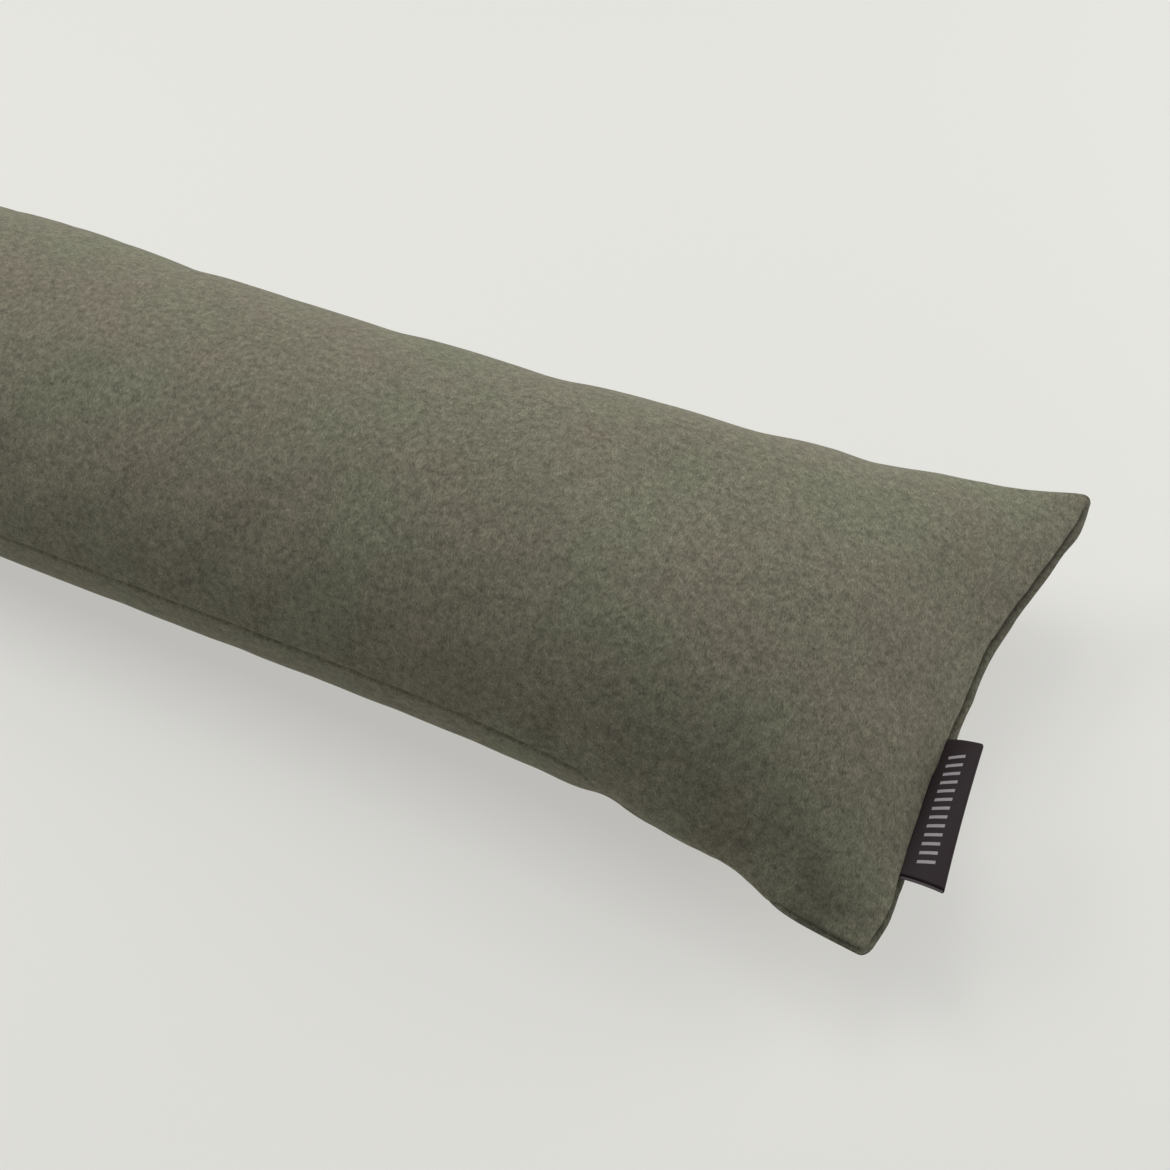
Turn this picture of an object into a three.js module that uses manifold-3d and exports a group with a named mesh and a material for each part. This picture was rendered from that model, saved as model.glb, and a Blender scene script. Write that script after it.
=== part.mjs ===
// Door draught excluder: a long stuffed cushion of felted wool, sewn from two panels with a plain
// turned seam all round, and a folded ribbon label held in the seam of one end.
// Millimetres, +Z up. X runs along the cushion, the labelled end at +X; the cushion stands on Z = 0.

import * as THREE from 'three';
import { ParametricGeometry } from 'three/addons/geometries/ParametricGeometry.js';
import { mergeVertices } from 'three/addons/utils/BufferGeometryUtils.js';
import Module from 'manifold-3d';

const { clamp, lerp, degToRad } = THREE.MathUtils;

// Cover, sewn and stuffed
const LENGTH = 900;             // cover laid flat, seam to seam along the cushion
const FLAT_WIDTH = 200;         // cover laid flat, seam to seam across the cushion
const BODY_WIDTH = 148;         // what the stuffing leaves of that width away from the ends
const CROWN_UP = 54;            // top of the crown above the widest line
const CROWN_DOWN = 53;          // underside below the widest line, before it settles
const SETTLE = 7;               // how much of the underside is pressed flat on the floor
const FLARE_LENGTH = 85;        // reach of the ends, where the width goes back to the flat one
const FLARE_POWER = 1.49;
const FILL_LENGTH = 150;        // distance from an end seam to the full crown
const FILL_POWER = 0.82;        // roundness of that rise
const END_FULLNESS = 1.3;       // 1 is an elliptic section; more is a lens, as at the ends
const CORNER_RADIUS = 8;        // corners of the cover in plan
const END_DRAW_IN = 11;         // middle of an end seam, drawn in from its corners
const END_REACH = 120;          // how far into the body the shape of an end seam is felt

// How the cushion lies
const FRONT_CORNER_HEIGHT = 31; // labelled end: the front corner hangs low
const BACK_CORNER_HEIGHT = 53;  // and the back corner stands up
const FAR_CORNER_HEIGHT = 42;   // both corners of the other end
const END_SKEW = degToRad(9.9); // labelled end, turned off square
const BOW = 30;                 // sideways shift of one end against the other
const SEAM_LIFT = degToRad(3.3); // front seam, rolled up from the widest line

// Seam
const SEAM_DEPTH = 2.4;         // crease between the two rolled edges
const SEAM_REACH = 1.9;         // half width of the crease
const EDGE_ROLL = 2;            // how far the rolled edges stand out past the flat size

// Soft dents and swellings of the stuffing: place along and round the body, size, rise
const SWELLINGS = [
  { along: 72, round: 40, length: 26, turn: 40, rise: -0.8 },
  { along: 38, round: 200, length: 18, turn: 30, rise: 2.0 },
  { along: 160, round: 40, length: 30, turn: 40, rise: 0.8 },
  { along: 238, round: 40, length: 34, turn: 40, rise: 1.0 },
  { along: 304, round: 40, length: 26, turn: 40, rise: -1.4 },
  { along: 350, round: 40, length: 30, turn: 40, rise: -1.2 },
  { along: 408, round: 40, length: 42, turn: 50, rise: 1.8 },
  { along: 520, round: 150, length: 60, turn: 60, rise: -1.5 },
  { along: 610, round: 40, length: 50, turn: 50, rise: 1.5 },
  { along: 700, round: 120, length: 55, turn: 60, rise: 1.4 },
  { along: 815, round: 60, length: 40, turn: 50, rise: -1.2 },
];

// Ribbon label, folded double and sewn in by its cut edges
const LABEL_LENGTH = 53;
const LABEL_STANDS_OUT = 12;    // fold, out from the edge of the cushion
const LABEL_SEWN_IN = 5;        // cut edges, behind the edge of the cushion
const LABEL_CENTRE = -44;       // place along the end seam, from its middle
const LABEL_TILT = degToRad(25); // the label points up
const LABEL_TWIST = degToRad(16); // more so at its back end than at its front end
const RIBBON = 1;               // thickness of one layer
const RIBBON_GAP = 0.4;         // between the two layers
const CLEARANCE = 0.35;         // between the label and the cover

// Fineness of the meshes
const RINGS = 80;
const PANEL_STEPS = 22;
const LABEL_STEPS = 12;
const FOLD_STEPS = 6;

const halfFlat = FLAT_WIDTH / 2 + EDGE_ROLL;
const halfLength = LENGTH / 2 + EDGE_ROLL;

// 1 on an end seam, falling to 0 in the body
const flare = (distance) => Math.exp(-Math.pow(distance / FLARE_LENGTH, FLARE_POWER));

// 0 on an end seam, 1 where the crown is full
function fill(distance) {
  const t = 1 - clamp(distance / FILL_LENGTH, 0, 1);
  return Math.pow(1 - t * t, FILL_POWER);
}

// How much the rounded corners take off each side, this far from an end seam
function cornerCut(distance) {
  const t = Math.max(CORNER_RADIUS - distance, 0);
  return CORNER_RADIUS - Math.sqrt(CORNER_RADIUS ** 2 - t * t);
}

// Edge of the labelled end, across from its middle. slope: how fast x grows across.
function nearSeam(across) {
  const v = across / halfFlat;
  return {
    x: halfLength - END_DRAW_IN * (1 - v * v) + Math.tan(END_SKEW) * across,
    z: lerp(FRONT_CORNER_HEIGHT, BACK_CORNER_HEIGHT, (v + 1) / 2),
    slope: 2 * END_DRAW_IN * v / halfFlat + Math.tan(END_SKEW),
  };
}

const bow = (along) => BOW * (1 - Math.cos(Math.PI * along / (2 * halfLength))) / 2;

// Rise of the surface at a place along and round the body
function swelling(along, round) {
  let rise = 0;
  for (const s of SWELLINGS) {
    const a = (along - s.along) / s.length;
    const turn = Math.atan2(Math.sin(round - degToRad(s.round)), Math.cos(round - degToRad(s.round)));
    const b = turn / degToRad(s.turn);
    rise += s.rise * Math.exp(-a * a - b * b);
  }
  return rise;
}

// A point of the cover. along: 0 on the labelled end's seam to the whole length on the other end's.
// side: 1 the upper panel, -1 the lower. turn: 0 on the back seam to PI on the front seam.
function coverPoint(along, side, turn, target) {
  const near = along;
  const far = 2 * halfLength - along;
  const nearFlare = flare(near);
  const farFlare = flare(far);
  const ends = nearFlare + farFlare;
  const full = fill(near) * fill(far);

  // the front seam is rolled up a little in the body, so the upper panel turns less than the lower
  const lift = SEAM_LIFT * (1 - ends) * turn / Math.PI;
  const angle = turn - side * lift;
  const v = Math.cos(angle);
  const halfWidth = lerp(BODY_WIDTH / 2, halfFlat, ends) - cornerCut(near) - cornerCut(far);
  let y = v * halfWidth;

  // height of the seams at the ends, and of the widest line in the body
  const widest = CROWN_DOWN - SETTLE;
  const seam = nearSeam(y);
  const base = widest * (1 - ends) + seam.z * nearFlare + FAR_CORNER_HEIGHT * farFlare;

  const section = Math.pow(Math.abs(Math.sin(angle)), lerp(1, END_FULLNESS, ends));
  const round = side * angle;
  const above = side > 0 ? Math.sin(angle) > 0 : Math.sin(angle) < 0;
  const crown = above ? CROWN_UP : -CROWN_DOWN;
  let rise = crown * full * section;

  // stuffing
  const bump = swelling(along, round) * Math.min(full * 2, 1);
  y += bump * v;
  rise += bump * Math.sin(round);

  // crease of the seams, pointing into the cushion
  const overEdge = Math.abs(halfWidth * full) * 0.8;
  const fromSide = Math.min(Math.abs(turn), Math.abs(Math.PI - turn)) * overEdge;
  const fromEnd = Math.hypot(Math.min(near, far), crown * full);
  const crease = SEAM_DEPTH * Math.exp(-Math.pow(Math.min(fromSide, fromEnd) / SEAM_REACH, 2));
  const facing = clamp((CORNER_RADIUS - Math.min(near, far)) / CORNER_RADIUS, 0, 1);
  const sideways = Math.sqrt(1 - facing * facing) * Math.pow(Math.abs(v), 8) * Math.sign(v);
  y -= crease * sideways;

  const nearShape = (seam.x - halfLength) * Math.exp(-near / END_REACH);
  const farShape = END_DRAW_IN * (1 - (y / halfFlat) ** 2) * Math.exp(-far / END_REACH);
  const toMiddle = near < far ? -1 : 1;
  target.set(
    halfLength - along + nearShape + farShape + toMiddle * crease * facing,
    y + bow(along),
    Math.max(base + rise, 0),
  );
}

// Steps that crowd at both ends of 0 to 1, so that seams and corners get finer faces
const crowded = (t) => (1 - Math.cos(Math.PI * t)) / 2;

function coverGeometry() {
  const geometry = new ParametricGeometry((u, v, target) => {
    const lower = u <= 0.5;
    const turn = Math.PI * crowded(lower ? 2 * u : 2 - 2 * u);
    coverPoint(2 * halfLength * crowded(v), lower ? -1 : 1, turn, target);
  }, 2 * PANEL_STEPS, RINGS);
  return closed(geometry);
}

// Only positions, with shared vertices merged
function closed(geometry) {
  geometry.deleteAttribute('normal');
  geometry.deleteAttribute('uv');
  return mergeVertices(geometry, 1e-3);
}

// Section of the label: out of the seam, then up by its mean tilt to the fold. half: from the middle
// to the outside. gap: from the middle to the inside of a layer, or 0 for a solid section.
function labelSection(half, gap, sewnIn) {
  const mitre = Math.tan(LABEL_TILT / 2);
  const fold = LABEL_STANDS_OUT - RIBBON - RIBBON_GAP / 2;
  const foldX = fold * Math.cos(LABEL_TILT);
  const foldY = fold * Math.sin(LABEL_TILT);
  const below = LABEL_TILT - Math.PI / 2;
  const above = LABEL_TILT + Math.PI / 2;
  const section = new THREE.Shape();
  section.moveTo(-sewnIn, -half);
  section.lineTo(mitre * half, -half);
  section.absarc(foldX, foldY, half, below, above, false);
  section.lineTo(-mitre * half, half);
  section.lineTo(-sewnIn, half);
  if (gap > 0) {
    section.lineTo(-sewnIn, gap);
    section.lineTo(-mitre * gap, gap);
    section.absarc(foldX, foldY, gap, above, below, true);
    section.lineTo(mitre * gap, -gap);
    section.lineTo(-sewnIn, -gap);
  }
  return section;
}

// Extrudes a section of the label, and lays it along the edge of the labelled end with its twist
function alongEdge(section, length) {
  const geometry = new THREE.ExtrudeGeometry(section, {
    depth: length, steps: LABEL_STEPS, curveSegments: FOLD_STEPS, bevelEnabled: false,
  });
  const position = geometry.attributes.position;
  for (let i = 0; i < position.count; i += 1) {
    const out = position.getX(i);
    const place = length / 2 - position.getZ(i);
    const seam = nearSeam(LABEL_CENTRE + place);
    const twist = LABEL_TWIST * place / LABEL_LENGTH;
    const lift = Math.max(out, 0) * Math.tan(twist);
    const across = LABEL_CENTRE + place - out * seam.slope;
    position.setXYZ(i, seam.x + out, across, seam.z + position.getY(i) + lift);
  }
  return closed(geometry);
}

// Two layers of ribbon, a little apart, and the fold that joins them
function labelGeometry() {
  return alongEdge(labelSection(RIBBON_GAP / 2 + RIBBON, RIBBON_GAP / 2, LABEL_SEWN_IN), LABEL_LENGTH);
}

// The slot that the label needs in the seam
function labelSlotGeometry() {
  const half = RIBBON_GAP / 2 + RIBBON + CLEARANCE;
  return alongEdge(labelSection(half, 0, LABEL_SEWN_IN + CLEARANCE), LABEL_LENGTH + 2 * CLEARANCE);
}

const wasm = await Module();
wasm.setup();

function toManifold(geometry) {
  return new wasm.Manifold(new wasm.Mesh({
    numProp: 3,
    vertProperties: Float32Array.from(geometry.attributes.position.array),
    triVerts: Uint32Array.from(geometry.index.array),
  }));
}

function toGeometry(manifold) {
  const mesh = manifold.getMesh();
  const geometry = new THREE.BufferGeometry();
  geometry.setAttribute('position', new THREE.BufferAttribute(mesh.vertProperties, 3));
  geometry.setIndex(new THREE.BufferAttribute(mesh.triVerts, 1));
  return geometry;
}

const felt = new THREE.MeshStandardMaterial({ color: 0x6a6959, roughness: 0.95, metalness: 0 });
const ribbon = new THREE.MeshStandardMaterial({ color: 0x2c2427, roughness: 0.7, metalness: 0 });

const coverSolid = toManifold(coverGeometry()).subtract(toManifold(labelSlotGeometry()));
const cover = new THREE.Mesh(toGeometry(coverSolid), felt);
cover.name = 'cover';

const label = new THREE.Mesh(labelGeometry(), ribbon);
label.name = 'label';

// Origin under the middle of the cushion and its label
const group = new THREE.Group();
group.add(cover, label);
const box = new THREE.Box3().setFromObject(group);
const middle = box.getCenter(new THREE.Vector3());
for (const mesh of group.children) mesh.geometry.translate(-middle.x, -middle.y, -box.min.z);

export default group;
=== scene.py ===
import math

import bmesh
import bpy
import numpy as np
from bpy.props import (
    FloatProperty, FloatVectorProperty, IntProperty, PointerProperty, StringProperty)
from mathutils import Matrix, Vector


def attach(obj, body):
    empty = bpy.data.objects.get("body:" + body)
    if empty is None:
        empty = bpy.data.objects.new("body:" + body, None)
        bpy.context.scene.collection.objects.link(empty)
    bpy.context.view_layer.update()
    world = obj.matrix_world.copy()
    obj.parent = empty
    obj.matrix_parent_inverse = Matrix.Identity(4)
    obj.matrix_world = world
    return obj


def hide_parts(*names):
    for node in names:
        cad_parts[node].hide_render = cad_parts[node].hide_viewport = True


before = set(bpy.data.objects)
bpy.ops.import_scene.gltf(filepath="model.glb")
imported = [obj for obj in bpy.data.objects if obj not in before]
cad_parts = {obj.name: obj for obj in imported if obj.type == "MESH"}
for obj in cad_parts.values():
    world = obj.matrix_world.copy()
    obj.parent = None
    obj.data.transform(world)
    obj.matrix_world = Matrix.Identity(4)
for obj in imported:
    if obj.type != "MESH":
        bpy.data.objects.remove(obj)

bl_info = {
    "name": "Draught excluder",
    "version": (1, 0, 0),
    "blender": (4, 5, 0),
    "location": "3D View > Sidebar > Draught excluder",
    "description": "A stuffed felt door cushion with its ribbon label, and a studio to show it in",
    "category": "Object",
}

MM = 0.001
WELD = 0.01     # points of a seam that are this near to each other are one, mm
TINY = 1e-9     # a length that counts as none


# ---------------------------------------------------------------- sizes and colours

def length_mm(name, description, default):
    """A length in millimetres, shown in the panel as one."""
    return FloatProperty(
        name=name, description=description, default=default, unit="NONE", precision=2)


def angle(name, description, degrees):
    """An angle, written here in degrees."""
    return FloatProperty(
        name=name, description=description, default=math.radians(degrees), subtype="ANGLE")


def colour(name, description, default):
    """A colour, written as sRGB hex."""
    return StringProperty(name=name, description=description + ", sRGB hex", default=default)


class CushionSizes(bpy.types.PropertyGroup):
    length: length_mm("Length", "Cover laid flat, seam to seam along the cushion, mm", 900)
    flat_width: length_mm("Flat width", "Cover laid flat, seam to seam across, mm", 200)
    body_width: length_mm("Body width", "What the stuffing leaves of that width, mm", 148)
    crown_up: length_mm("Crown up", "Top of the crown above the widest line, mm", 54)
    crown_down: length_mm(
        "Crown down", "Underside below the widest line before it settles, mm", 53)
    settle: length_mm("Settle", "How much of the underside is pressed flat, mm", 7)
    flare_length: length_mm(
        "Flare", "Reach of the ends, where the width goes back to the flat one, mm", 85)
    fill_length: length_mm("Fill", "Distance from an end seam to the full crown, mm", 150)
    corner_radius: length_mm("Corner radius", "Rounding of the corners in plan, mm", 3.0)
    draw_in: length_mm("Draw-in", "Middle of an end seam, behind its corners, mm", 11)
    edge_roll: length_mm(
        "Edge roll", "How far the rolled edges stand out past the flat size, mm", 2)
    front_corner: length_mm(
        "Front corner", "Height of the front corner at the labelled end, mm", 31)
    back_corner: length_mm(
        "Back corner", "Height of the back corner at the labelled end, mm", 53)
    far_corner: length_mm("Far corners", "Height of the corners at the other end, mm", 42)
    bow: length_mm("Bow", "Sideways shift of one end against the other, mm", 30)
    end_skew: angle("End skew", "Labelled end, turned off square", 9.9)
    seam_lift: angle("Seam lift", "Front seam, rolled up from the widest line", 3.3)


class SeamSizes(bpy.types.PropertyGroup):
    body_depth: length_mm("Depth along the body", "Crease of a long seam, mm", 0.3)
    end_depth: length_mm("Depth at the ends", "Crease of an end seam, mm", 4.2)
    body_crease: length_mm(
        "Crease along the body", "Half width of the crease of a long seam, mm", 0.7)
    end_crease: length_mm(
        "Crease at the ends", "Half width of the crease of an end seam, mm", 1.0)
    body_lip: length_mm(
        "Lip along the body", "Rise of the rolled edge beside a long seam, mm", 0.4)
    end_lip: length_mm("Lip at the ends", "Rise of the rolled edge beside an end seam, mm", 1.0)
    lip_reach: length_mm("Lip width", "Reach of the rolled edge from the seam, mm", 4)
    gathers: length_mm("Gathers", "Height of the small gathers beside the seam, mm", 0.22)


class LabelSizes(bpy.types.PropertyGroup):
    length: length_mm("Length", "Along the seam, mm", 51.5)
    stands_out: length_mm("Stands out", "Fold, out from the crease of the seam, mm", 14)
    sewn_in: length_mm("Sewn in", "Cut edges, inside the crease, mm", 5)
    centre: length_mm("Centre", "Place along the end seam from its middle, mm", -44.5)
    tilt: angle("Tilt", "The label points up", 25)
    twist: angle("Twist", "More so at its back end than at its front end", 23)
    curl: angle("Curl", "How much it bends down again towards its fold", 22)
    ribbon: length_mm("Ribbon", "Thickness of the ribbon, mm", 0.45)
    lean: length_mm(
        "Lean", "How far the fold lies towards the front of the sewn edges, mm", 1.7)
    slip: length_mm(
        "Slip", "How far the lower layer shows past the upper at the front, mm", 0.9)
    crease_up: length_mm(
        "Crease up", "Crease of the seam, above the edge of the cushion, mm", 2.0)
    crease_in: length_mm(
        "Crease in", "Crease of the seam, behind the edge of the cushion, mm", 1.4)
    askew: length_mm(
        "Askew", "How much deeper its back end is sewn in than its front end, mm", 1.3)


class StageSizes(bpy.types.PropertyGroup):
    camera: FloatVectorProperty(
        name="Camera", description="Place of the camera, mm", default=(399.3, -303.7, 434.0),
        size=3)
    azimuth: angle("Azimuth", "Camera, turned round from straight in front", 21.09)
    elevation: angle("Elevation", "Camera, above the horizon", 51.72)
    lens: FloatProperty(name="Lens", description="Focal length on a 36 mm sensor, mm", default=41.54)
    floor: FloatProperty(
        name="Floor", description="Side of the floor", default=4.0, unit="LENGTH")
    floor_colour: colour("Floor colour", "Pale lacquered table top", "#959590")
    floor_glow: FloatProperty(
        name="Floor glow", description="Light the white table gives back", default=0.48)
    glow_colour: colour("Glow colour", "Tint of that light", "#fffefa")
    world: FloatProperty(name="Room light", description="Light from all round", default=0.1)
    room_colour: colour("Room colour", "Tint of the light from all round", "#eef0ef")


class ExcluderSettings(bpy.types.PropertyGroup):
    cushion: PointerProperty(type=CushionSizes)
    seam: PointerProperty(type=SeamSizes)
    label: PointerProperty(type=LabelSizes)
    stage: PointerProperty(type=StageSizes)


# The cushion's own middle in the frame of the part, mm. The part is centred on its box, label included
OWN_MIDDLE = (-8.45, -14.97, 0.0)

# Ends of the cushion: the powers by which the width and the crown come back, the power that thins the
# edges of the section there, and the distance over which the shape of an end fades out, mm
FLARE_POWER = 1.49
FILL_POWER = 0.82
SECTION_POWER = 1.3
END_REACH = 120

# How much further than its even curve the labelled end is drawn in: all along, at one place across it,
# and at its two corners; mm
END_DENT = {
    "all": 1.1, "at": 23, "reach": 21, "depth": 1.8, "front": 5.1, "back": 4.6, "corner_reach": 12}
# How much the long sides are drawn in at the corners, and how far the back corner turns up; mm
SIDE_DENT = {"front": 3.4, "back": 3.2, "reach": 30}
TIP_LIFT = {"rise": 2.4, "reach": 12}

# How the long seams are rolled, mm above the edge, or below it where negative. The front seam goes
# under the edge where the labelled end flares out, the more suddenly the higher its power, and a little
# at the corner. The back seam does so at both ends, but not at the very corner of the labelled one
FRONT_ROLL = {
    "rise": 2.0, "under": -7.0, "at": 79, "reach": 38, "power": 12, "corner": -1.0, "corner_reach": 30}
BACK_ROLL = {"rise": -2.5, "reach": 40, "corner_reach": 5}
# How the end seams are rolled, and where they are less so: what share of it, at what place from -1 at
# the front corner to 1 at the back one, and over what part of the half width
END_ROLL = 1.8
END_ROLL_DIPS = (
    {"share": 1.0, "at": 1.0, "reach": 0.07},
    {"share": 0.4, "at": -0.77, "reach": 0.07},
    {"share": 0.2, "at": -1.0, "reach": 0.05},
)
# How unevenly the seams run: height and typical wave, mm
SIDE_WAVER = {"height": 0.25, "wave": 23}
END_WAVER = {"height": 0.3, "wave": 19}
# The distance over which the seams of side and end run together at the corners, mm
CORNER_BLEND = 1.0

# The crease: which shares of its depth go in between the panels and down into the cloth, the latter
# within a share of the gap between the panels; and how far from a corner it runs out, mm
CREASE_INWARDS = 0.6
CREASE_DOWN = 0.5
CREASE_ROOM = 0.4
CORNER_FOLD = 3.2

# The lips of the end seams: by what share they are uneven, and their typical wave, mm
LIP_WAVER = {"share": 0.4, "wave": 27}
# The small gathers: how far from the seam they start and reach, and their waves along body and end; mm
GATHERS = {"start": 3, "reach": 7, "body_wave": 8.5, "end_wave": 10}

# Painted shade in the seam: how much the felt's colour is darkened at an end, in the crease and on the
# edge under it, where little light falls; how far that runs on along the long seams from the labelled
# end, and how softly it starts under the crease, mm
SEAM_SHADE = {"crease": 0.6, "under": 0.22, "side_reach": 30, "start": 0.3}

# The sines of an uneven wave: height, length as a share of the typical one, and phase
WAVES = ((1.0, 1.0, 1.0), (0.7, 1.73, 4.1), (0.5, 0.61, 2.3))

# How much the rows of points of the cover crowd towards its seams, 0 to 1
CROWDING = 0.9

# Cloth simulation of the stuffing
STUFFING = {
    # steps of its coarser grid, along the cushion and across a panel
    "rings": 150, "panel_steps": 24,
    # how far inside its place the cloth starts, and how near the seams that begins, mm
    "start_inside": 0.6, "seam_reach": 20.0,
    # how near to a seam or to the floor the cloth is held, mm
    "held_within": 0.5,
    # the fabric: its mass, stiffness and slack
    "mass": 0.1, "stretch": 25, "shear": 12, "bending": 1.0, "shrink": -0.008,
    # what presses on it, for how many frames, and in how many steps to a frame
    "pressure": 4.0, "frames": 20, "quality": 6,
    # over how many rings to each side its even part is found
    "even_rings": 9,
    # how wide a strip the seams hold back, mm, and what share the weight leaves the underside
    "seam_hold": 8.0, "underside": 0.3,
    # how far it may move, mm
    "cap": 0.6,
}

# Swellings and dents of the stuffing: place along the body and round it (0 the back seam, 90 the top),
# length, spread round the body, and rise; mm and degrees. They grow with the crown from an end seam,
# this many times as fast
SWELLING_GROWTH = 2
SWELLINGS = (
    # the labelled end and its corners
    {"along": 7, "round": 66, "length": 6, "turn": 4, "rise": -0.9},
    {"along": 9, "round": 55, "length": 7, "turn": 4, "rise": -1.3},
    {"along": 12, "round": 117, "length": 13, "turn": 11, "rise": 1.2},
    {"along": 14, "round": 140, "length": 28, "turn": 20, "rise": 2.6},
    {"along": 24, "round": 25, "length": 14, "turn": 40, "rise": -1.8},
    {"along": 27, "round": 100, "length": 21, "turn": 7, "rise": -1.8},
    {"along": 36, "round": 123, "length": 38, "turn": 30, "rise": 6.6},
    {"along": 38, "round": 200, "length": 18, "turn": 30, "rise": 1.2},
    {"along": 50, "round": 90, "length": 30, "turn": 20, "rise": 3.0},
    {"along": 50, "round": 160, "length": 25, "turn": 9, "rise": -1.4},
    {"along": 56, "round": 188, "length": 16, "turn": 30, "rise": -2.4},
    # the body
    {"along": 72, "round": 40, "length": 26, "turn": 40, "rise": -0.6},
    {"along": 92, "round": 40, "length": 16, "turn": 40, "rise": 0.8},
    {"along": 105, "round": 130, "length": 38, "turn": 27, "rise": 3.6},
    {"along": 111, "round": 205, "length": 9, "turn": 30, "rise": -1.8},
    {"along": 122, "round": 167, "length": 4, "turn": 7, "rise": -0.5},
    {"along": 130, "round": 80, "length": 30, "turn": 20, "rise": -3.8},
    {"along": 131, "round": 165, "length": 4, "turn": 8, "rise": -0.6},
    {"along": 160, "round": 40, "length": 30, "turn": 40, "rise": 1.0},
    {"along": 238, "round": 40, "length": 34, "turn": 40, "rise": 0.6},
    {"along": 326, "round": 40, "length": 30, "turn": 40, "rise": 0.4},
    {"along": 408, "round": 40, "length": 42, "turn": 50, "rise": 1.8},
    {"along": 440, "round": 40, "length": 60, "turn": 40, "rise": 0.9},
    # the far half
    {"along": 520, "round": 150, "length": 60, "turn": 60, "rise": -1.5},
    {"along": 610, "round": 40, "length": 50, "turn": 50, "rise": 1.5},
    {"along": 700, "round": 120, "length": 55, "turn": 60, "rise": 1.4},
    {"along": 815, "round": 60, "length": 40, "turn": 50, "rise": -1.2},
)

# The felt's fibres, mm
FIBRE = {"width": 0.4, "length": 1.2, "height": 0.7}

# The label's ribbon, mm: its woven ribs and the paler strip of a cut edge. The radius of its fold is in
# thicknesses of the ribbon
RIB = 0.5
CUT_EDGE = 0.8
FOLD_RADIUS = 0.75
# The dashes woven into it, mm: the row lies off the middle of what shows, and each dash is slanted by
# a share of its length
DASHES = {"count": 13, "length": 5.6, "width": 1.1, "pitch": 3.2, "slant": 0.3, "off_middle": 0.4}
# How steeply the groove that it is sewn into goes down behind the crease of the seam
GROOVE = math.radians(45)
# About the width of one band of a wave texture at scale 1
WAVE_BAND = 0.3125

# Studio lights: a softbox to each side, one behind the cushion and a weak one overhead, all aimed at
# one place, mm, from the same distance, metres. Azimuth anticlockwise from +X and elevation above the
# floor, degrees; size in metres
LIGHTS_AIM = (250, 0, 40)
LIGHTS_DISTANCE = 1.5
SOFTBOXES = (
    {"name": "Softbox_right", "azimuth": 41, "elevation": 25, "size": 1.0, "watts": 12.7},
    {"name": "Softbox_left", "azimuth": 178, "elevation": 42, "size": 0.8, "watts": 9.3},
    {"name": "Softbox_back", "azimuth": 120, "elevation": 60, "size": 0.8, "watts": 5.7},
    {"name": "Softbox_top", "azimuth": 90, "elevation": 82, "size": 1.2, "watts": 3.0},
)

# The colour sockets of a Mix node, which has others of the same names for its other kinds of data
MIX_FIRST, MIX_SECOND, MIX_RESULT = 6, 7, 2


def settings():
    """The sizes in the panel."""
    return bpy.context.scene.excluder


# ---------------------------------------------------------------- small helpers

def linear(hex_colour):
    """An sRGB hex colour as linear RGBA."""
    channels = [int(hex_colour[i:i + 2], 16) / 255 for i in (1, 3, 5)]
    return (*[c / 12.92 if c <= 0.04045 else ((c + 0.055) / 1.055) ** 2.4 for c in channels], 1.0)


def grey(value):
    """A linear grey, which may be above 1."""
    return (value, value, value, 1.0)


def add_node(tree, kind, inputs=None, **attributes):
    """Adds a node with its settings. An input that is a socket is linked, any other is a value."""
    node = tree.nodes.new("ShaderNode" + kind)
    for name, value in attributes.items():
        setattr(node, name, value)
    for key, value in (inputs or {}).items():
        if isinstance(value, bpy.types.NodeSocket):
            tree.links.new(value, node.inputs[key])
        else:
            node.inputs[key].default_value = value
    return node


def new_material(name):
    """An empty node material and its tree."""
    material = bpy.data.materials.new(name)
    material.use_nodes = True
    material.node_tree.nodes.clear()
    return material, material.node_tree


def finish_material(tree, shader):
    """Links the shader to the surface."""
    add_node(tree, "OutputMaterial", {"Surface": shader.outputs["BSDF"]})


def ramp(tree, factor, stops):
    """A colour ramp through (place, colour) stops."""
    node = add_node(tree, "ValToRGB", {"Fac": factor})
    elements = node.color_ramp.elements
    while len(elements) < len(stops):
        elements.new(0.5)
    for element, (place, value) in zip(elements, stops):
        element.position = place
        element.color = value
    return node.outputs["Color"]


def mix_colours(tree, factor, first, second, blend="MIX"):
    """Two colours mixed. Each is a socket or a linear colour."""
    mix = add_node(tree, "Mix", {
        "Factor": factor, MIX_FIRST: first, MIX_SECOND: second}, data_type="RGBA", blend_type=blend)
    return mix.outputs[MIX_RESULT]


def sewn_mesh(points, layer_name, values):
    """A bmesh of rows of points, mm, sewn up where they meet and with its faces outwards. The values go
    into a layer of its vertices."""
    rings, columns = points.shape[0] - 1, points.shape[1] - 1
    bm = bmesh.new()
    # a square from -0.5 to 0.5, in which each vertex finds its row and column
    bmesh.ops.create_grid(bm, x_segments=columns, y_segments=rings, size=0.5)
    layer = bm.verts.layers.float.new(layer_name)
    for vertex in bm.verts:
        ring = round((vertex.co.y + 0.5) * rings)
        column = round((vertex.co.x + 0.5) * columns)
        vertex[layer] = values[ring, column]
        vertex.co = Vector(points[ring, column]) * MM
    bmesh.ops.remove_doubles(bm, verts=bm.verts, dist=WELD * MM)
    bmesh.ops.recalc_face_normals(bm, faces=bm.faces)
    if bm.calc_volume(signed=True) < 0:
        bmesh.ops.reverse_faces(bm, faces=bm.faces)
    return bm


def mesh_object(name, bm, material=None):
    """Turns a bmesh into an object at the origin, shaded smooth."""
    mesh = bpy.data.meshes.new(name)
    bm.to_mesh(mesh)
    bm.free()
    mesh.polygons.foreach_set("use_smooth", [True] * len(mesh.polygons))
    if material:
        mesh.materials.append(material)
    obj = bpy.data.objects.new(name, mesh)
    bpy.context.scene.collection.objects.link(obj)
    return obj


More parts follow.
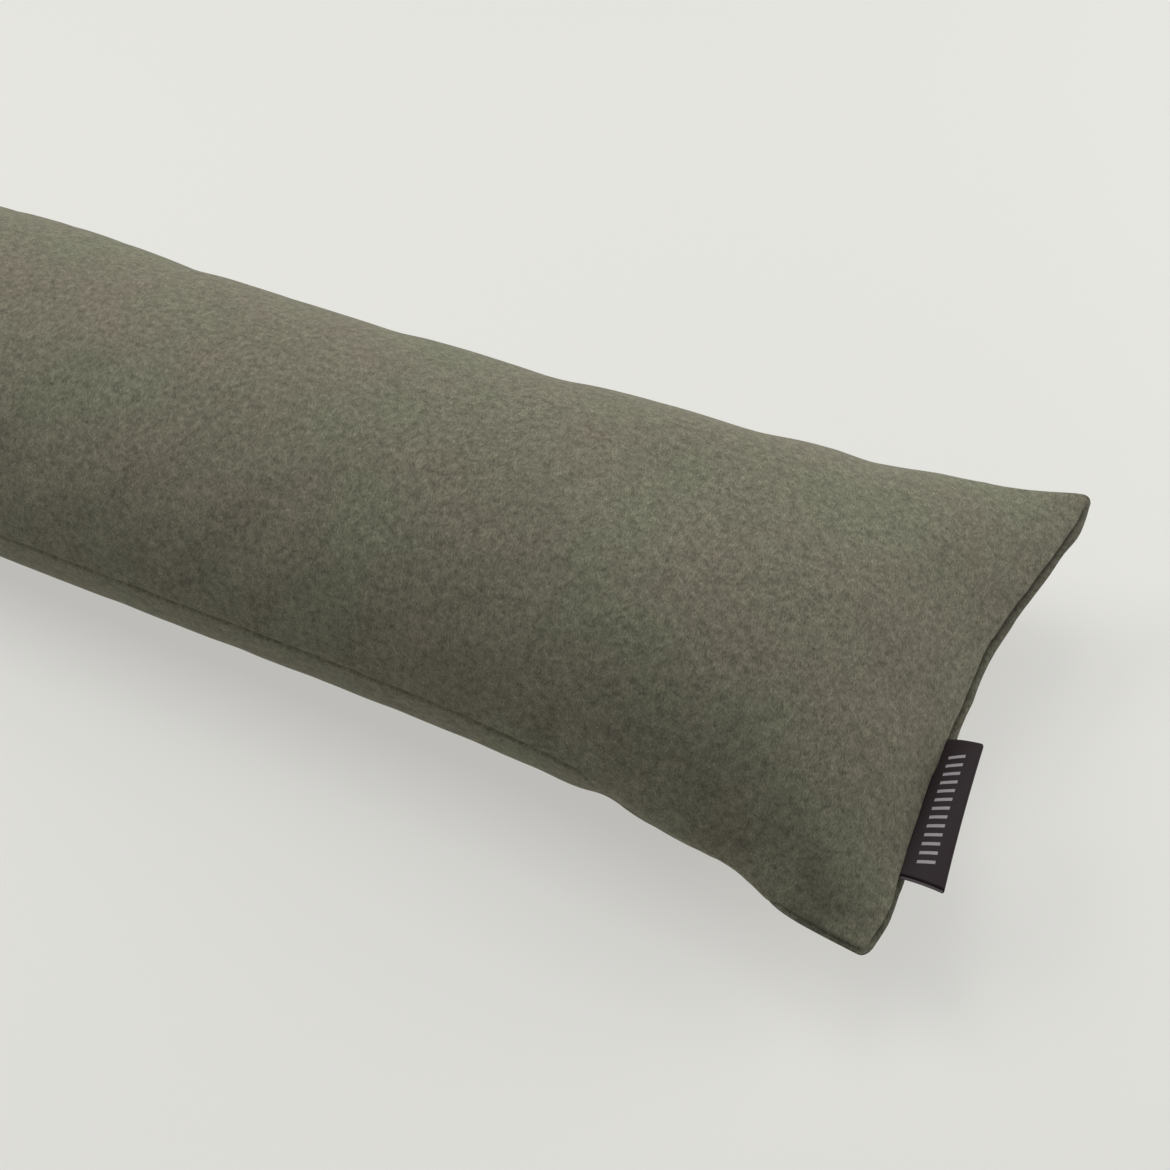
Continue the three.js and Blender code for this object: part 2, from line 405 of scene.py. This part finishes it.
def towards(azimuth, elevation):
    """The unit vector that way from the origin, anticlockwise from +X and above the floor."""
    return Vector((math.cos(azimuth) * math.cos(elevation),
                   math.sin(azimuth) * math.cos(elevation), math.sin(elevation)))


def bell(distance, reach):
    """1 at distance 0, falling to 0 past the reach."""
    return np.exp(-(distance / reach) ** 2)


def soft_step(t):
    """0 well below 0 and 1 well above it, changing over a few units."""
    return (1 + np.tanh(t / 2)) / 2


def unit(vectors):
    """The vectors at length 1."""
    return vectors / np.maximum(np.linalg.norm(vectors, axis=-1, keepdims=True), TINY)


def wavering(place, wave):
    """An uneven wave about 0, from -1 to 1, with that typical length."""
    rise = sum(
        height * np.sin(2 * math.pi * place / (wave * length) + phase)
        for height, length, phase in WAVES)
    return rise / sum(height for height, _, _ in WAVES)


def above_floor(points):
    """Points with what lies under the floor lifted onto it."""
    return np.maximum(points, (-np.inf, -np.inf, 0.0))


# ---------------------------------------------------------------- form of the cushion

def half_length():
    """Half of the cushion along, rolled edge included."""
    return settings().cushion.length / 2 + settings().cushion.edge_roll


def half_flat():
    """Half of the cushion across where it is flat, rolled edge included."""
    return settings().cushion.flat_width / 2 + settings().cushion.edge_roll


def flare(distance):
    """1 on an end seam, falling to 0 in the body."""
    return np.exp(-(distance / settings().cushion.flare_length) ** FLARE_POWER)


def fill(distance):
    """0 on an end seam, 1 where the crown is full."""
    t = 1 - np.clip(distance / settings().cushion.fill_length, 0, 1)
    return (1 - t * t) ** FILL_POWER


def corner_cut(distance):
    """What the rounded corners take off each side, this far from an end seam."""
    radius = settings().cushion.corner_radius
    t = np.clip(radius - distance, 0, None)
    return radius - np.sqrt(radius ** 2 - t * t)


def bow(along):
    """How far the middle line is shifted sideways."""
    return settings().cushion.bow * (1 - np.cos(math.pi * along / (2 * half_length()))) / 2


def near_edge(across):
    """Place along, height and slope of the labelled end's edge, across from its middle."""
    c = settings().cushion
    v = across / half_flat()
    corner = np.where(v > 0, END_DENT["back"], END_DENT["front"]) * bell(
        half_flat() - np.abs(across), END_DENT["corner_reach"])
    dent = END_DENT["depth"] * bell(across - END_DENT["at"], END_DENT["reach"])
    drawn_in = c.draw_in * (1 - v * v) + END_DENT["all"] + dent + corner
    along = half_length() - drawn_in + math.tan(c.end_skew) * across
    height = c.front_corner + (c.back_corner - c.front_corner) * (v + 1) / 2
    slope = 2 * c.draw_in * v / half_flat() + math.tan(c.end_skew)
    return along, height, slope


def swelling(along, around):
    """How far the cloth stands out there."""
    rise = 0
    for s in SWELLINGS:
        turn = around - math.radians(s["round"])
        turn = np.arctan2(np.sin(turn), np.cos(turn))
        rise = rise + s["rise"] * bell(along - s["along"], s["length"]) * bell(
            turn, math.radians(s["turn"]))
    return rise


def cover_points(along, side, turn):
    """Points of the stuffed cover before its seam is drawn in, mm. along: 0 on the labelled end's seam.
    side: 1 the upper panel, -1 the lower. turn: 0 on the back seam to pi on the front seam."""
    c = settings().cushion
    near, far = along, 2 * half_length() - along
    near_flare, far_flare = flare(near), flare(far)
    ends = near_flare + far_flare
    full = fill(near) * fill(far)

    angle_round = turn - side * c.seam_lift * (1 - ends) * turn / math.pi
    v = np.cos(angle_round)
    side_dent = np.where(v > 0, SIDE_DENT["back"], SIDE_DENT["front"]) * (
        bell(near, SIDE_DENT["reach"]) + bell(far, SIDE_DENT["reach"]))
    half_width = c.body_width / 2 * (1 - ends) + half_flat() * ends
    half_width = half_width - corner_cut(near) - corner_cut(far) - side_dent
    y = v * half_width

    edge_x, edge_z, _ = near_edge(y)
    base = (c.crown_down - c.settle) * (1 - ends) + edge_z * near_flare + c.far_corner * far_flare
    around = side * angle_round
    up = np.sin(around)
    section = np.abs(up) ** (1 + (SECTION_POWER - 1) * ends)
    rise = np.where(up > 0, c.crown_up, -c.crown_down) * full * section
    rise = rise + TIP_LIFT["rise"] * bell(near, TIP_LIFT["reach"]) * bell(
        half_flat() - y, TIP_LIFT["reach"])

    bump = swelling(along, around) * np.minimum(full * SWELLING_GROWTH, 1)
    y = y + bump * v
    rise = rise + bump * up

    near_shape = (edge_x - half_length()) * np.exp(-near / END_REACH)
    far_shape = c.draw_in * (1 - (y / half_flat()) ** 2) * np.exp(-far / END_REACH)
    x = half_length() - along + near_shape + far_shape
    return np.stack((x, y + bow(along), base + rise), -1)


def crowded(t, amount):
    """0 to 1 in steps that crowd at both ends by that amount."""
    return t * (1 - amount) + amount * (1 - np.cos(math.pi * t)) / 2


class CoverGrid:
    """The cover as rows of points: one row a ring, going round from the front seam over the lower panel
    to the back seam and over the upper panel to the front seam again."""

    def __init__(self, rings, panel_steps, crowding):
        across = np.linspace(0, 1, 2 * panel_steps + 1)
        lower = across < 0.5
        panel = np.where(lower, 1 - 2 * across, 2 * across - 1)
        self.along, self.turn = np.meshgrid(
            2 * half_length() * crowded(np.linspace(0, 1, rings + 1), crowding),
            math.pi * crowded(panel, crowding), indexing="ij")
        self.side = np.broadcast_to(np.where(lower, -1, 1), self.along.shape)
        self.points = cover_points(self.along, self.side, self.turn)
        self.back_seam = panel_steps

    def normals(self):
        """Outward unit normals of the rows of points."""
        normal = unit(np.cross(np.gradient(self.points, axis=0), np.gradient(self.points, axis=1)))
        # on the seams the two panels' normals meet half way, so that the panels stay joined
        normal[:, 0] = normal[:, -1] = normal[:, 0] + normal[:, -1]
        normal[[0, -1]] = normal[[0, -1]] + normal[[0, -1], ::-1]
        return unit(normal)

    def from_seam(self):
        """Distances over the cloth to the nearer long seam and to the nearer end seam."""
        def travelled(axis):
            steps = np.linalg.norm(np.diff(self.points, axis=axis), axis=-1)
            start = np.zeros_like(np.take(steps, [0], axis))
            return np.concatenate((start, np.cumsum(steps, axis)), axis)

        round_, along = travelled(1), travelled(0)
        back, whole = round_[:, [self.back_seam]], round_[:, [-1]]
        side = np.minimum(np.minimum(round_, np.abs(round_ - back)), whole - round_)
        end = np.minimum(along, along[[-1], :] - along)
        return side, end


# ---------------------------------------------------------------- stuffing

def stuffed_out(grid):
    """How far each point of the grid goes when the stuffing presses on the cloth, mm: by simulation on
    a coarser copy. The even part of that is in the cushion's sizes already, so this is the uneven part,
    with nothing on the seams, which stay joined."""
    coarse = CoverGrid(STUFFING["rings"], STUFFING["panel_steps"], 0.0)
    coarse.points = above_floor(coarse.points)
    from_seam = np.min(coarse.from_seam(), axis=0)
    inside = STUFFING["start_inside"] * np.minimum(from_seam / STUFFING["seam_reach"], 1)
    start = above_floor(coarse.points - coarse.normals() * inside[..., None])
    held = np.minimum(from_seam, coarse.points[..., 2]) < STUFFING["held_within"]
    moved = simulated(start, held, coarse.points)

    moved = moved - evened(moved, STUFFING["even_rings"])
    share = np.where(coarse.side < 0, STUFFING["underside"], 1) * np.minimum(
        from_seam / STUFFING["seam_hold"], 1)
    moved = moved * share[..., None]
    reach = np.linalg.norm(moved, axis=-1, keepdims=True)
    moved = unit(moved) * STUFFING["cap"] * np.tanh(reach / STUFFING["cap"])
    return spread_over(moved, coarse, grid)


def simulated(start, held, places):
    """Lets the stuffing press the cloth out from that start, and gives back how far the rows of points
    are from their places then, mm. Points that were sewn onto others stay where they are."""
    numbers = np.arange(held.size, dtype=float).reshape(held.shape)
    trial = mesh_object("Stuffing_trial", sewn_mesh(start, "number", numbers))
    mesh = trial.data
    number = np.zeros(len(mesh.vertices), dtype=np.float32)
    mesh.attributes["number"].data.foreach_get("value", number)
    rows, columns = np.divmod(number.astype(int), held.shape[1])
    group = trial.vertex_groups.new(name="held")
    group.add([int(i) for i in np.nonzero(held[rows, columns])[0]], 1.0, "REPLACE")
    add_stuffing(trial, group)

    scene = bpy.context.scene
    for step in range(1, STUFFING["frames"] + 1):
        scene.frame_set(step)
    stuffed = trial.evaluated_get(bpy.context.evaluated_depsgraph_get()).data
    ended = np.zeros(3 * len(mesh.vertices))
    stuffed.vertices.foreach_get("co", ended)
    moved = np.zeros_like(places)
    moved[rows, columns] = ended.reshape(-1, 3) / MM - places[rows, columns]
    scene.frame_set(1)
    bpy.data.objects.remove(trial)
    bpy.data.meshes.remove(mesh)
    return moved


def add_stuffing(trial, held):
    """Makes the object a cloth that the stuffing presses on, held at the vertices of a group."""
    cloth = trial.modifiers.new("Cloth", "CLOTH")
    cloth.collision_settings.use_collision = False
    cloth.point_cache.frame_start, cloth.point_cache.frame_end = 1, STUFFING["frames"]
    fabric = cloth.settings
    fabric.quality = STUFFING["quality"]
    fabric.mass = STUFFING["mass"]
    fabric.tension_stiffness = fabric.compression_stiffness = STUFFING["stretch"]
    fabric.shear_stiffness = STUFFING["shear"]
    fabric.bending_stiffness = STUFFING["bending"]
    fabric.shrink_min = STUFFING["shrink"]
    fabric.vertex_group_mass = held.name
    fabric.use_pressure = True
    fabric.uniform_pressure_force = STUFFING["pressure"]
    fabric.effector_weights.gravity = 0


def evened(moved, rings):
    """What moved, evened out along the cushion over that many rings to each side."""
    weights = np.hanning(2 * rings + 3)[1:-1]
    padded = np.concatenate((np.repeat(moved[:1], rings, 0), moved, np.repeat(moved[-1:], rings, 0)))
    parts = [weight * padded[i:i + len(moved)] for i, weight in enumerate(weights)]
    return sum(parts) / weights.sum()


def smooth_twice(values, axis):
    """Rows of values with three more in each gap, along a smooth curve that keeps both ends."""
    for _ in range(2):
        values = np.moveaxis(values, axis, 0)
        padded = np.concatenate((values[:1], values, values[-1:]))
        # the weights that halve the steps of a cubic spline
        on_points = (padded[:-2] + 6 * values + padded[2:]) / 8
        on_points[0], on_points[-1] = values[0], values[-1]
        joined = np.empty((2 * len(values) - 1, *values.shape[1:]))
        joined[::2], joined[1::2] = on_points, (values[:-1] + values[1:]) / 2
        values = np.moveaxis(joined, 0, axis)
    return values


def halved_twice(places):
    """Places with three more in each gap, in even steps."""
    return np.interp(np.arange(4 * len(places) - 3) / 4, np.arange(len(places)), places)


def spread_over(moved, coarse, fine):
    """Carries what moved on a coarse grid over to the points of a fine one, without facets."""
    rings, turns = halved_twice(coarse.along[:, 0]), halved_twice((coarse.side * coarse.turn)[0])
    fine_rings, fine_turns = fine.along[:, 0], (fine.side * fine.turn)[0]
    moved = smooth_twice(smooth_twice(moved, 0), 1)
    result = np.empty_like(fine.points)
    for axis in range(3):
        by_ring = np.stack([np.interp(fine_rings, rings, line) for line in moved[..., axis].T], -1)
        result[..., axis] = np.stack([np.interp(fine_turns, turns, ring) for ring in by_ring])
    return result


# ---------------------------------------------------------------- seam

def side_roll(along, front):
    """How far above the edge a long seam lies, mm."""
    far = 2 * half_length() - along
    at_middle = np.abs((along - FRONT_ROLL["at"]) / FRONT_ROLL["reach"])
    under = (FRONT_ROLL["under"] - FRONT_ROLL["rise"]) * np.exp(-at_middle ** FRONT_ROLL["power"])
    corner = FRONT_ROLL["corner"] * bell(along, FRONT_ROLL["corner_reach"])
    at_ends = bell(along, BACK_ROLL["reach"]) + bell(far, BACK_ROLL["reach"])
    back = BACK_ROLL["rise"] * at_ends * (1 - bell(along, BACK_ROLL["corner_reach"]))
    roll = np.where(front, FRONT_ROLL["rise"] + under + corner, back)
    return roll + SIDE_WAVER["height"] * wavering(along, SIDE_WAVER["wave"])


def end_roll(across):
    """How far above the edge an end seam lies, mm."""
    roll = END_ROLL
    for dip in END_ROLL_DIPS:
        roll = roll * (1 - dip["share"] * bell(across / half_flat() - dip["at"], dip["reach"]))
    return roll + END_WAVER["height"] * wavering(across, END_WAVER["wave"])


def draw_in_seam(grid):
    """Draws the crease of the seam into the cloth between its two rolled edges. Gives back the painted
    shade
    of the seam at each point, 0 to 1: how much the felt's colour is darkened in the crease and under
    it."""
    seam = settings().seam
    from_side, from_end = grid.from_seam()
    # the smaller of the two distances, run together at the corners
    distance = -CORNER_BLEND * np.logaddexp(-from_side / CORNER_BLEND, -from_end / CORNER_BLEND)
    distance = np.maximum(distance, 0)
    on_end = soft_step((from_side - from_end) / CORNER_BLEND)

    def mix(on_side, at_end):
        return on_side * (1 - on_end) + at_end * on_end

    across = grid.points[..., 1] - bow(grid.along)
    roll = mix(side_roll(grid.along, np.cos(grid.turn) < 0), end_roll(across))
    from_crease = distance * grid.side - roll
    in_crease = bell(from_crease, mix(seam.body_crease, seam.end_crease))
    # the crease runs out just before a corner, where the cloth is turned over it
    in_crease = in_crease * (1 - bell(np.hypot(from_side, from_end), CORNER_FOLD))

    uneven = 1 + LIP_WAVER["share"] * wavering(across, LIP_WAVER["wave"])
    lip = mix(seam.body_lip, seam.end_lip * uneven)
    crease = (mix(seam.body_depth, seam.end_depth) + lip) * in_crease
    gathers = mix(wavering(grid.along, GATHERS["body_wave"]), wavering(across, GATHERS["end_wave"]))
    gathers = seam.gathers * gathers * np.exp(-distance / GATHERS["reach"]) * (
        1 - bell(distance, GATHERS["start"]))
    # the lips rise on the cloth's own normals; the crease goes straight in between the two panels,
    # and down into the cloth only as far as they lie apart, which is little at the corners
    normals = grid.normals()
    inwards = -(normals + normals[:, ::-1]) / 2
    apart = np.linalg.norm(grid.points - grid.points[:, ::-1], axis=-1)
    rise = lip * bell(distance, seam.lip_reach) + gathers
    rise = rise - np.minimum(crease * CREASE_DOWN, CREASE_ROOM * apart)
    grid.points = (
        grid.points + normals * rise[..., None] + inwards * (crease * CREASE_INWARDS)[..., None])

    # painted shade: the felt's colour is darkened in the crease and, more gently, on the edge under it,
    # along both end seams and on the long seams near the labelled end
    at_end = mix(bell(grid.along, SEAM_SHADE["side_reach"]), 1)
    under = SEAM_SHADE["under"] * at_end * soft_step(-from_crease / SEAM_SHADE["start"]) * bell(
        from_crease, seam.lip_reach)
    return 1 - (1 - SEAM_SHADE["crease"] * at_end * in_crease) * (1 - under)


# ---------------------------------------------------------------- materials

def felt_material():
    """Melange felted wool: matt, with a faint fuzz that catches light at grazing angles; fibres of
    grey, olive and brown mix at about a millimetre, and lots of them drift in soft patches."""
    material, tree = new_material("Felted_wool_melange")
    place = add_node(tree, "TexCoord").outputs["Object"]

    def mottle(size, detail, rough, distortion=0.0):
        """Soft spots of that size, mm."""
        return add_node(tree, "TexNoise", {
            "Vector": place, "Scale": 1 / (size * MM), "Detail": detail, "Roughness": rough,
            "Distortion": distortion}).outputs["Fac"]

    def streaks(turn):
        """Short fibres, lying one way."""
        laid = add_node(tree, "Mapping", {
            "Vector": place, "Rotation": (0.0, 0.0, math.radians(turn)),
            "Scale": [1 / (FIBRE[size] * MM) for size in ("width", "length", "height")]})
        return add_node(tree, "TexNoise", {
            "Vector": laid.outputs["Vector"], "Scale": 1.0, "Detail": 2.0, "Roughness": 0.6,
            "Distortion": 0.5}).outputs["Fac"]

    patches = mottle(size=40, detail=2, rough=0.5)
    tufts = mottle(size=2.5, detail=3, rough=0.55, distortion=0.3)
    fibres = add_node(tree, "Mix", {
        "Factor": 0.5, "A": streaks(turn=35), "B": streaks(turn=-50)}).outputs["Result"]

    tint = ramp(tree, patches, ((0.36, linear("#747462")), (0.64, linear("#777263"))))
    # the lightness of tufts and of fibres
    for factor, spread in ((tufts, 0.33), (fibres, 0.60)):
        shade = ramp(tree, factor, (
            (0.26, grey(1 - spread)), (0.50, grey(1.0)), (0.74, grey(1 + spread))))
        tint = mix_colours(tree, 1.0, tint, shade, blend="MULTIPLY")
    # painted shade: the felt's colour is darkened in the crease of the seam and on the edge under it,
    # where little light falls
    painted_seam_shade = add_node(tree, "Attribute", attribute_name="painted_seam_shade").outputs["Fac"]
    shade = ramp(tree, painted_seam_shade, ((0.0, grey(1.0)), (1.0, grey(0.0))))
    tint = mix_colours(tree, 1.0, tint, shade, blend="MULTIPLY")

    bump = add_node(tree, "Bump", {"Strength": 0.6, "Distance": 0.4 * MM, "Height": fibres})
    shader = add_node(tree, "BsdfPrincipled", {
        "Base Color": tint, "Roughness": 0.95, "Specular IOR Level": 0.2,
        "Sheen Weight": 0.25, "Sheen Roughness": 0.5, "Sheen Tint": linear("#b9b7a4"),
        "Normal": bump.outputs["Normal"]})
    finish_material(tree, shader)
    return material


def ribbon_material():
    """Woven polyester satin ribbon: dark plum-brown with a soft sheen, its weft in fine ribs along the
    label, and one woven row of pale slanted dashes. Its cut edges are sealed and paler."""
    material, tree = new_material("Satin_woven_ribbon")
    sizes = settings().label
    place = add_node(tree, "UVMap").outputs["UV"]
    parts = add_node(tree, "SeparateXYZ", {"Vector": place}).outputs
    # the path of the ribbon, 0 on its fold, and the place along it from its middle
    travel, along = parts["X"], parts["Y"]

    def maths(operation, first, second=0.0):
        return add_node(tree, "Math", {0: first, 1: second}, operation=operation).outputs["Value"]

    def within(value, limit):
        """1 where the value is nearer to 0 than the limit, mm."""
        return maths("LESS_THAN", maths("ABSOLUTE", value), limit * MM)

    # the ribs are wide enough to show
    ribs = add_node(tree, "TexWave", {
        "Vector": place, "Scale": WAVE_BAND / (RIB * MM), "Distortion": 0.6, "Detail": 2.0},
        wave_type="BANDS", bands_direction="X").outputs["Fac"]
    tint = ramp(tree, ribs, ((0.0, linear("#22191c")), (1.0, linear("#322528"))))

    # the dashes are on the upper layer
    row = (sizes.stands_out / 2 + DASHES["off_middle"]) * MM
    off_row = maths("SUBTRACT", travel, row)
    slanted = maths("ADD", along, maths("MULTIPLY", off_row, DASHES["slant"]))
    from_dash = maths("PINGPONG", slanted, DASHES["pitch"] / 2 * MM)
    dashes = within(from_dash, DASHES["width"] / 2)
    dashes = maths("MULTIPLY", dashes, within(off_row, DASHES["length"] / 2))
    dashes = maths("MULTIPLY", dashes, within(slanted, DASHES["count"] / 2 * DASHES["pitch"]))
    # the cut edge that shows is the lower layer's
    cut_edge = maths("LESS_THAN", along, (CUT_EDGE - sizes.length / 2) * MM)
    cut_edge = maths("MULTIPLY", cut_edge, maths("LESS_THAN", travel, 0.0))
    for mask, shade in ((dashes, "#aba5aa"), (cut_edge, "#6f686b")):
        tint = mix_colours(tree, mask, tint, linear(shade))

    bump = add_node(tree, "Bump", {"Strength": 0.3, "Distance": 0.1 * MM, "Height": ribs})
    shader = add_node(tree, "BsdfPrincipled", {
        "Base Color": tint, "Roughness": 0.6, "Specular IOR Level": 0.25, "Sheen Weight": 0.05,
        "Normal": bump.outputs["Normal"]})
    finish_material(tree, shader)
    return material


def floor_material():
    """Pale lacquered board: nearly matt, so that the light falls off softly on it."""
    material, tree = new_material("Pale_lacquered_board")
    s = settings().stage
    shader = add_node(tree, "BsdfPrincipled", {
        "Base Color": linear(s.floor_colour), "Roughness": 0.6, "Specular IOR Level": 0.3,
        "Emission Color": linear(s.glow_colour), "Emission Strength": s.floor_glow})
    finish_material(tree, shader)
    return material


# ---------------------------------------------------------------- stage

def add_softbox(scene, softbox):
    """A round area light that faces the cushion."""
    light = bpy.data.lights.new(softbox["name"], "AREA")
    light.shape = "DISK"
    light.size = softbox["size"]
    light.energy = softbox["watts"]
    lamp = bpy.data.objects.new(softbox["name"], light)
    direction = towards(math.radians(softbox["azimuth"]), math.radians(softbox["elevation"]))
    lamp.location = Vector(LIGHTS_AIM) * MM + direction * LIGHTS_DISTANCE
    lamp.rotation_euler = direction.to_track_quat("Z", "Y").to_euler()
    scene.collection.objects.link(lamp)


def add_room_light(scene):
    """Even light from all round."""
    world = bpy.data.worlds.new("Studio")
    world.use_nodes = True
    background = world.node_tree.nodes["Background"].inputs
    background["Color"].default_value = linear(settings().stage.room_colour)
    background["Strength"].default_value = settings().stage.world
    scene.world = world


def add_camera(scene):
    """The camera, held level and turned by its azimuth and elevation."""
    s = settings().stage
    back = towards(s.azimuth - math.pi / 2, s.elevation)
    right = towards(s.azimuth, 0)
    turned = Matrix((right, back.cross(right), back)).transposed().to_4x4()
    data = bpy.data.cameras.new("Camera")
    data.lens = s.lens
    camera = bpy.data.objects.new("Camera", data)
    camera.matrix_world = Matrix.Translation(Vector(s.camera) * MM) @ turned
    scene.collection.objects.link(camera)
    scene.camera = camera


class EXCLUDER_OT_stage(bpy.types.Operator):
    """Floor, soft studio light and camera"""
    bl_idname = "excluder.stage"
    bl_label = "Stage"

    def execute(self, context):
        scene = context.scene
        scene.view_settings.view_transform = "Standard"
        bm = bmesh.new()
        bmesh.ops.create_grid(bm, x_segments=1, y_segments=1, size=settings().stage.floor / 2)
        mesh_object("Floor", bm, floor_material())
        add_room_light(scene)
        for softbox in SOFTBOXES:
            add_softbox(scene, softbox)
        add_camera(scene)
        return {"FINISHED"}


# ---------------------------------------------------------------- pieces

class EXCLUDER_OT_cover(bpy.types.Operator):
    """The stuffed cover with its seam"""
    bl_idname = "excluder.cover"
    bl_label = "Cover"

    rings: IntProperty(name="Rings", description="Steps along the cushion", default=440)
    panel_steps: IntProperty(name="Panel steps", description="Steps across one panel", default=80)

    def execute(self, context):
        grid = CoverGrid(self.rings, self.panel_steps, CROWDING)
        grid.points = grid.points + stuffed_out(grid)
        # the painted shade of the seam goes into a layer of the mesh's vertices
        painted_seam_shade = draw_in_seam(grid)
        bm = sewn_mesh(above_floor(grid.points) + OWN_MIDDLE, "painted_seam_shade", painted_seam_shade)
        cover = mesh_object("Cover_stuffed", bm, felt_material())
        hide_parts("cover")
        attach(cover, "root")
        return {"FINISHED"}


def ribbon_path(travel, straight, radius):
    """How far out and how far up the ribbon lies there on its path, mm: out with the lower layer, round
    the fold and back with the upper one."""
    fold = math.pi * radius
    if travel < straight:
        return travel, -radius
    if travel > straight + fold:
        return 2 * straight + fold - travel, radius
    bend = (travel - straight) / radius - math.pi / 2
    return straight + radius * math.cos(bend), radius * math.sin(bend)


def on_crease(out, up, place):
    """A point of the label's section, laid in the crease of the labelled end, metres."""
    s = settings().label
    along, height, slope = near_edge(s.centre + place)
    share = place / s.length
    tilt = s.tilt + s.twist * share
    if out < 0:
        # inside the crease it follows the groove, half way between the two panels
        lies = across_angle = GROOVE
    else:
        # an arc from its tilt at the crease down to its tilt less its curl at the fold
        bend = s.curl * out / s.stands_out
        lies = tilt + s.curl / 2 - bend / 2
        across_angle = tilt + s.curl / 2 - bend
    forward = out * math.cos(lies) - up * math.sin(across_angle) - s.crease_in - s.askew * share
    rise = out * math.sin(lies) + up * math.cos(across_angle) + s.crease_up
    lean = s.lean * max(out, 0) / s.stands_out
    point = Vector((
        along + forward, s.centre + place - forward * slope + bow(0) - lean, height + rise))
    return (point + Vector(OWN_MIDDLE)) * MM


class EXCLUDER_OT_label(bpy.types.Operator):
    """The folded ribbon label in the seam of one end"""
    bl_idname = "excluder.label"
    bl_label = "Label"

    length_steps: IntProperty(name="Length steps", description="Steps along the seam", default=60)
    path_steps: IntProperty(name="Path steps", description="Steps round the fold", default=96)

    def execute(self, context):
        s = settings().label
        radius = s.ribbon * FOLD_RADIUS
        straight = s.sewn_in + s.stands_out - radius
        whole = 2 * straight + math.pi * radius
        bm = bmesh.new()
        # a square from -0.5 to 0.5: x is the path of the ribbon, y its length
        bmesh.ops.create_grid(
            bm, x_segments=self.path_steps, y_segments=self.length_steps, size=0.5, calc_uvs=True)
        uv = bm.loops.layers.uv.verify()
        for face in bm.faces:
            for loop in face.loops:
                loop[uv].uv = (loop.vert.co.x * whole * MM, loop.vert.co.y * s.length * MM)
        for vertex in bm.verts:
            out, up = ribbon_path((vertex.co.x + 0.5) * whole, straight, radius)
            # the lower layer slips out from under the upper one
            slip = s.slip * (1 - up / radius) / 2
            vertex.co = on_crease(out - s.sewn_in, up, vertex.co.y * s.length - slip)
        bmesh.ops.recalc_face_normals(bm, faces=bm.faces)
        label = mesh_object("Ribbon_label", bm, ribbon_material())
        solid = label.modifiers.new("Thickness", "SOLIDIFY")
        solid.thickness = s.ribbon * MM
        solid.offset = 0
        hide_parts("label")
        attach(label, "root")
        return {"FINISHED"}


class EXCLUDER_PT_panel(bpy.types.Panel):
    bl_idname = "EXCLUDER_PT_panel"
    bl_label = "Draught excluder"
    bl_space_type = "VIEW_3D"
    bl_region_type = "UI"
    bl_category = "Draught excluder"

    def draw(self, context):
        for operator in (EXCLUDER_OT_stage, EXCLUDER_OT_cover, EXCLUDER_OT_label):
            self.layout.operator(operator.bl_idname)
        sizes = context.scene.excluder
        for title, group in (("Cushion", sizes.cushion), ("Seam", sizes.seam),
                             ("Label", sizes.label), ("Stage", sizes.stage)):
            column = self.layout.column()
            column.label(text=title)
            for name in group.__annotations__:
                column.prop(group, name)


CLASSES = (
    CushionSizes, SeamSizes, LabelSizes, StageSizes, ExcluderSettings,
    EXCLUDER_OT_stage, EXCLUDER_OT_cover, EXCLUDER_OT_label, EXCLUDER_PT_panel,
)


def register():
    for cls in CLASSES:
        bpy.utils.register_class(cls)
    bpy.types.Scene.excluder = PointerProperty(type=ExcluderSettings)


def unregister():
    del bpy.types.Scene.excluder
    for cls in reversed(CLASSES):
        bpy.utils.unregister_class(cls)


def main():
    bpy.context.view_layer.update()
    register()
    bpy.ops.excluder.stage()
    bpy.ops.excluder.cover()
    bpy.ops.excluder.label()


if __name__ == "__main__":
    main()
